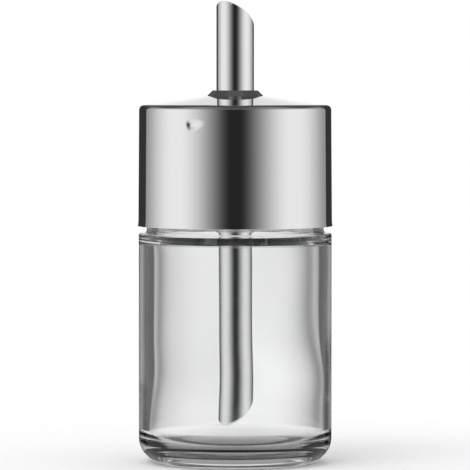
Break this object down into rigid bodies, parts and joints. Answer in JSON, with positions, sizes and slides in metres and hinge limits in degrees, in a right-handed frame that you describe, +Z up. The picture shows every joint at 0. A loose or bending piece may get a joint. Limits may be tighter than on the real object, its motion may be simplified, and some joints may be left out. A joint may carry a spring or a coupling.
{
  "type": "sugar dispenser with flap",
  "caption": "Round glass sugar jar with a turn-and-lift steel lid, a slanted pouring spout closed by a hinged flap, and a dip tube down to the floor.",
  "frame": {"origin": "centre of the face that the jar stands on", "axes": "+Z up along the jar's axis, -Y towards the front as pictured, +X to the right"},
  "size_m": [0.0624, 0.0624, 0.1477],
  "materials": {
    "clear_glass": "clear pressed glass, fire-polished, with slight waves in the inner wall",
    "polished_steel": "mirror-polished stainless steel",
    "plain_steel": "turned or stamped stainless steel, satin",
    "silicone": "translucent white silicone, matt",
    "dark_plastic": "fine-grained moulded plastic"
  },
  "bodies": {
    "jar": {"glass_jar": "clear_glass"},
    "gasket": {"lid_gasket": "silicone"},
    "lid": {"lid_shell": "polished_steel", "sealing_disc": "dark_plastic", "tube_collar": "polished_steel", "clamp_nut": "plain_steel", "nut_washer": "silicone", "spout_tube": "polished_steel", "dip_tube": "polished_steel", "flap_bracket": "plain_steel", "flap_pin": "plain_steel"},
    "flap": {"flap": "polished_steel"}
  },
  "joints": [
    {"name": "lid_lift", "type": "slide", "parent": "jar", "child": "gasket", "axis": [0, 0, 1], "range_m": [0, 0.105]},
    {"name": "lid_turn", "type": "hinge", "parent": "gasket", "child": "lid", "pos_m": [0, 0, 0.1108], "axis": [0, 0, 1], "range_deg": [-60, 0]},
    {"name": "flap_swing", "type": "hinge", "parent": "lid", "child": "flap", "pos_m": [-0.00249, -0.00319, 0.14487], "axis": [0.788, -0.6157, 0], "range_deg": [0, 75]}
  ]
}
